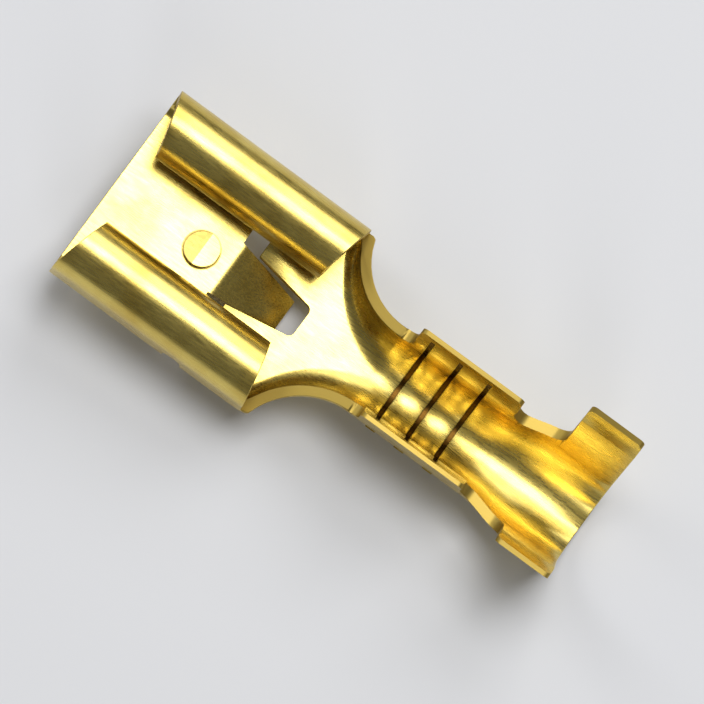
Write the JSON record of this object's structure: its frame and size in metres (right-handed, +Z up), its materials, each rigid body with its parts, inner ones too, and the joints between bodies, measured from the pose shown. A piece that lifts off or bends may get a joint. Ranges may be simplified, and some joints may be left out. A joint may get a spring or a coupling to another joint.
{
  "type": "female spade terminal",
  "caption": "Open-barrel female spade terminal in brass for a 6.3 mm tab, with a locking dimple, a sprung lance, serrated wire wings and splayed insulation wings.",
  "frame": {"origin": "bottom centre of the bounding box of the terminal as it rests", "axes": "+X from the mouth to the wire end, along the table; +Y across the rolls; +Z up, on the open side"},
  "size_m": [0.0202, 0.0076, 0.0051],
  "materials": {
    "brass": "satin rolled strip with bright sheared edges"
  },
  "bodies": {
    "root": {"terminal": "brass"}
  },
  "joints": []
}
